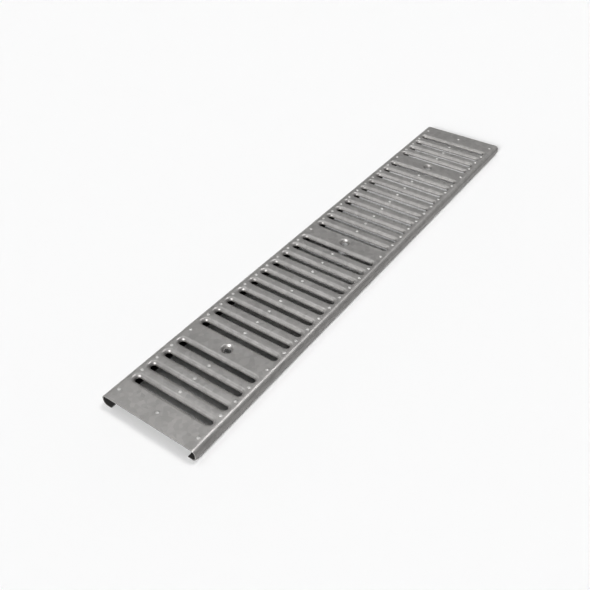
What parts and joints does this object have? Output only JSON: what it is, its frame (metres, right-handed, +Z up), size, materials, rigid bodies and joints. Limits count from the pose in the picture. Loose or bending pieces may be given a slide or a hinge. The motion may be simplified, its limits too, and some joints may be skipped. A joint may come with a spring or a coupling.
{
  "type": "channel drain grate",
  "caption": "Slotted drain channel grate folded from galvanised sheet, with rolled cross slots, anti-slip nubs, dished locking holes and return flanges.",
  "frame": {"origin": "middle of the footprint, on the plane of the flange undersides", "axes": "+X along the grate, +Y across it, +Z up out of the walked-on face"},
  "size_m": [1, 0.173, 0.0211],
  "materials": {
    "galvanised_steel": "hot-dip galvanised, matt light grey with a faint spangle"
  },
  "bodies": {
    "root": {"grate": "galvanised_steel"}
  },
  "joints": []
}
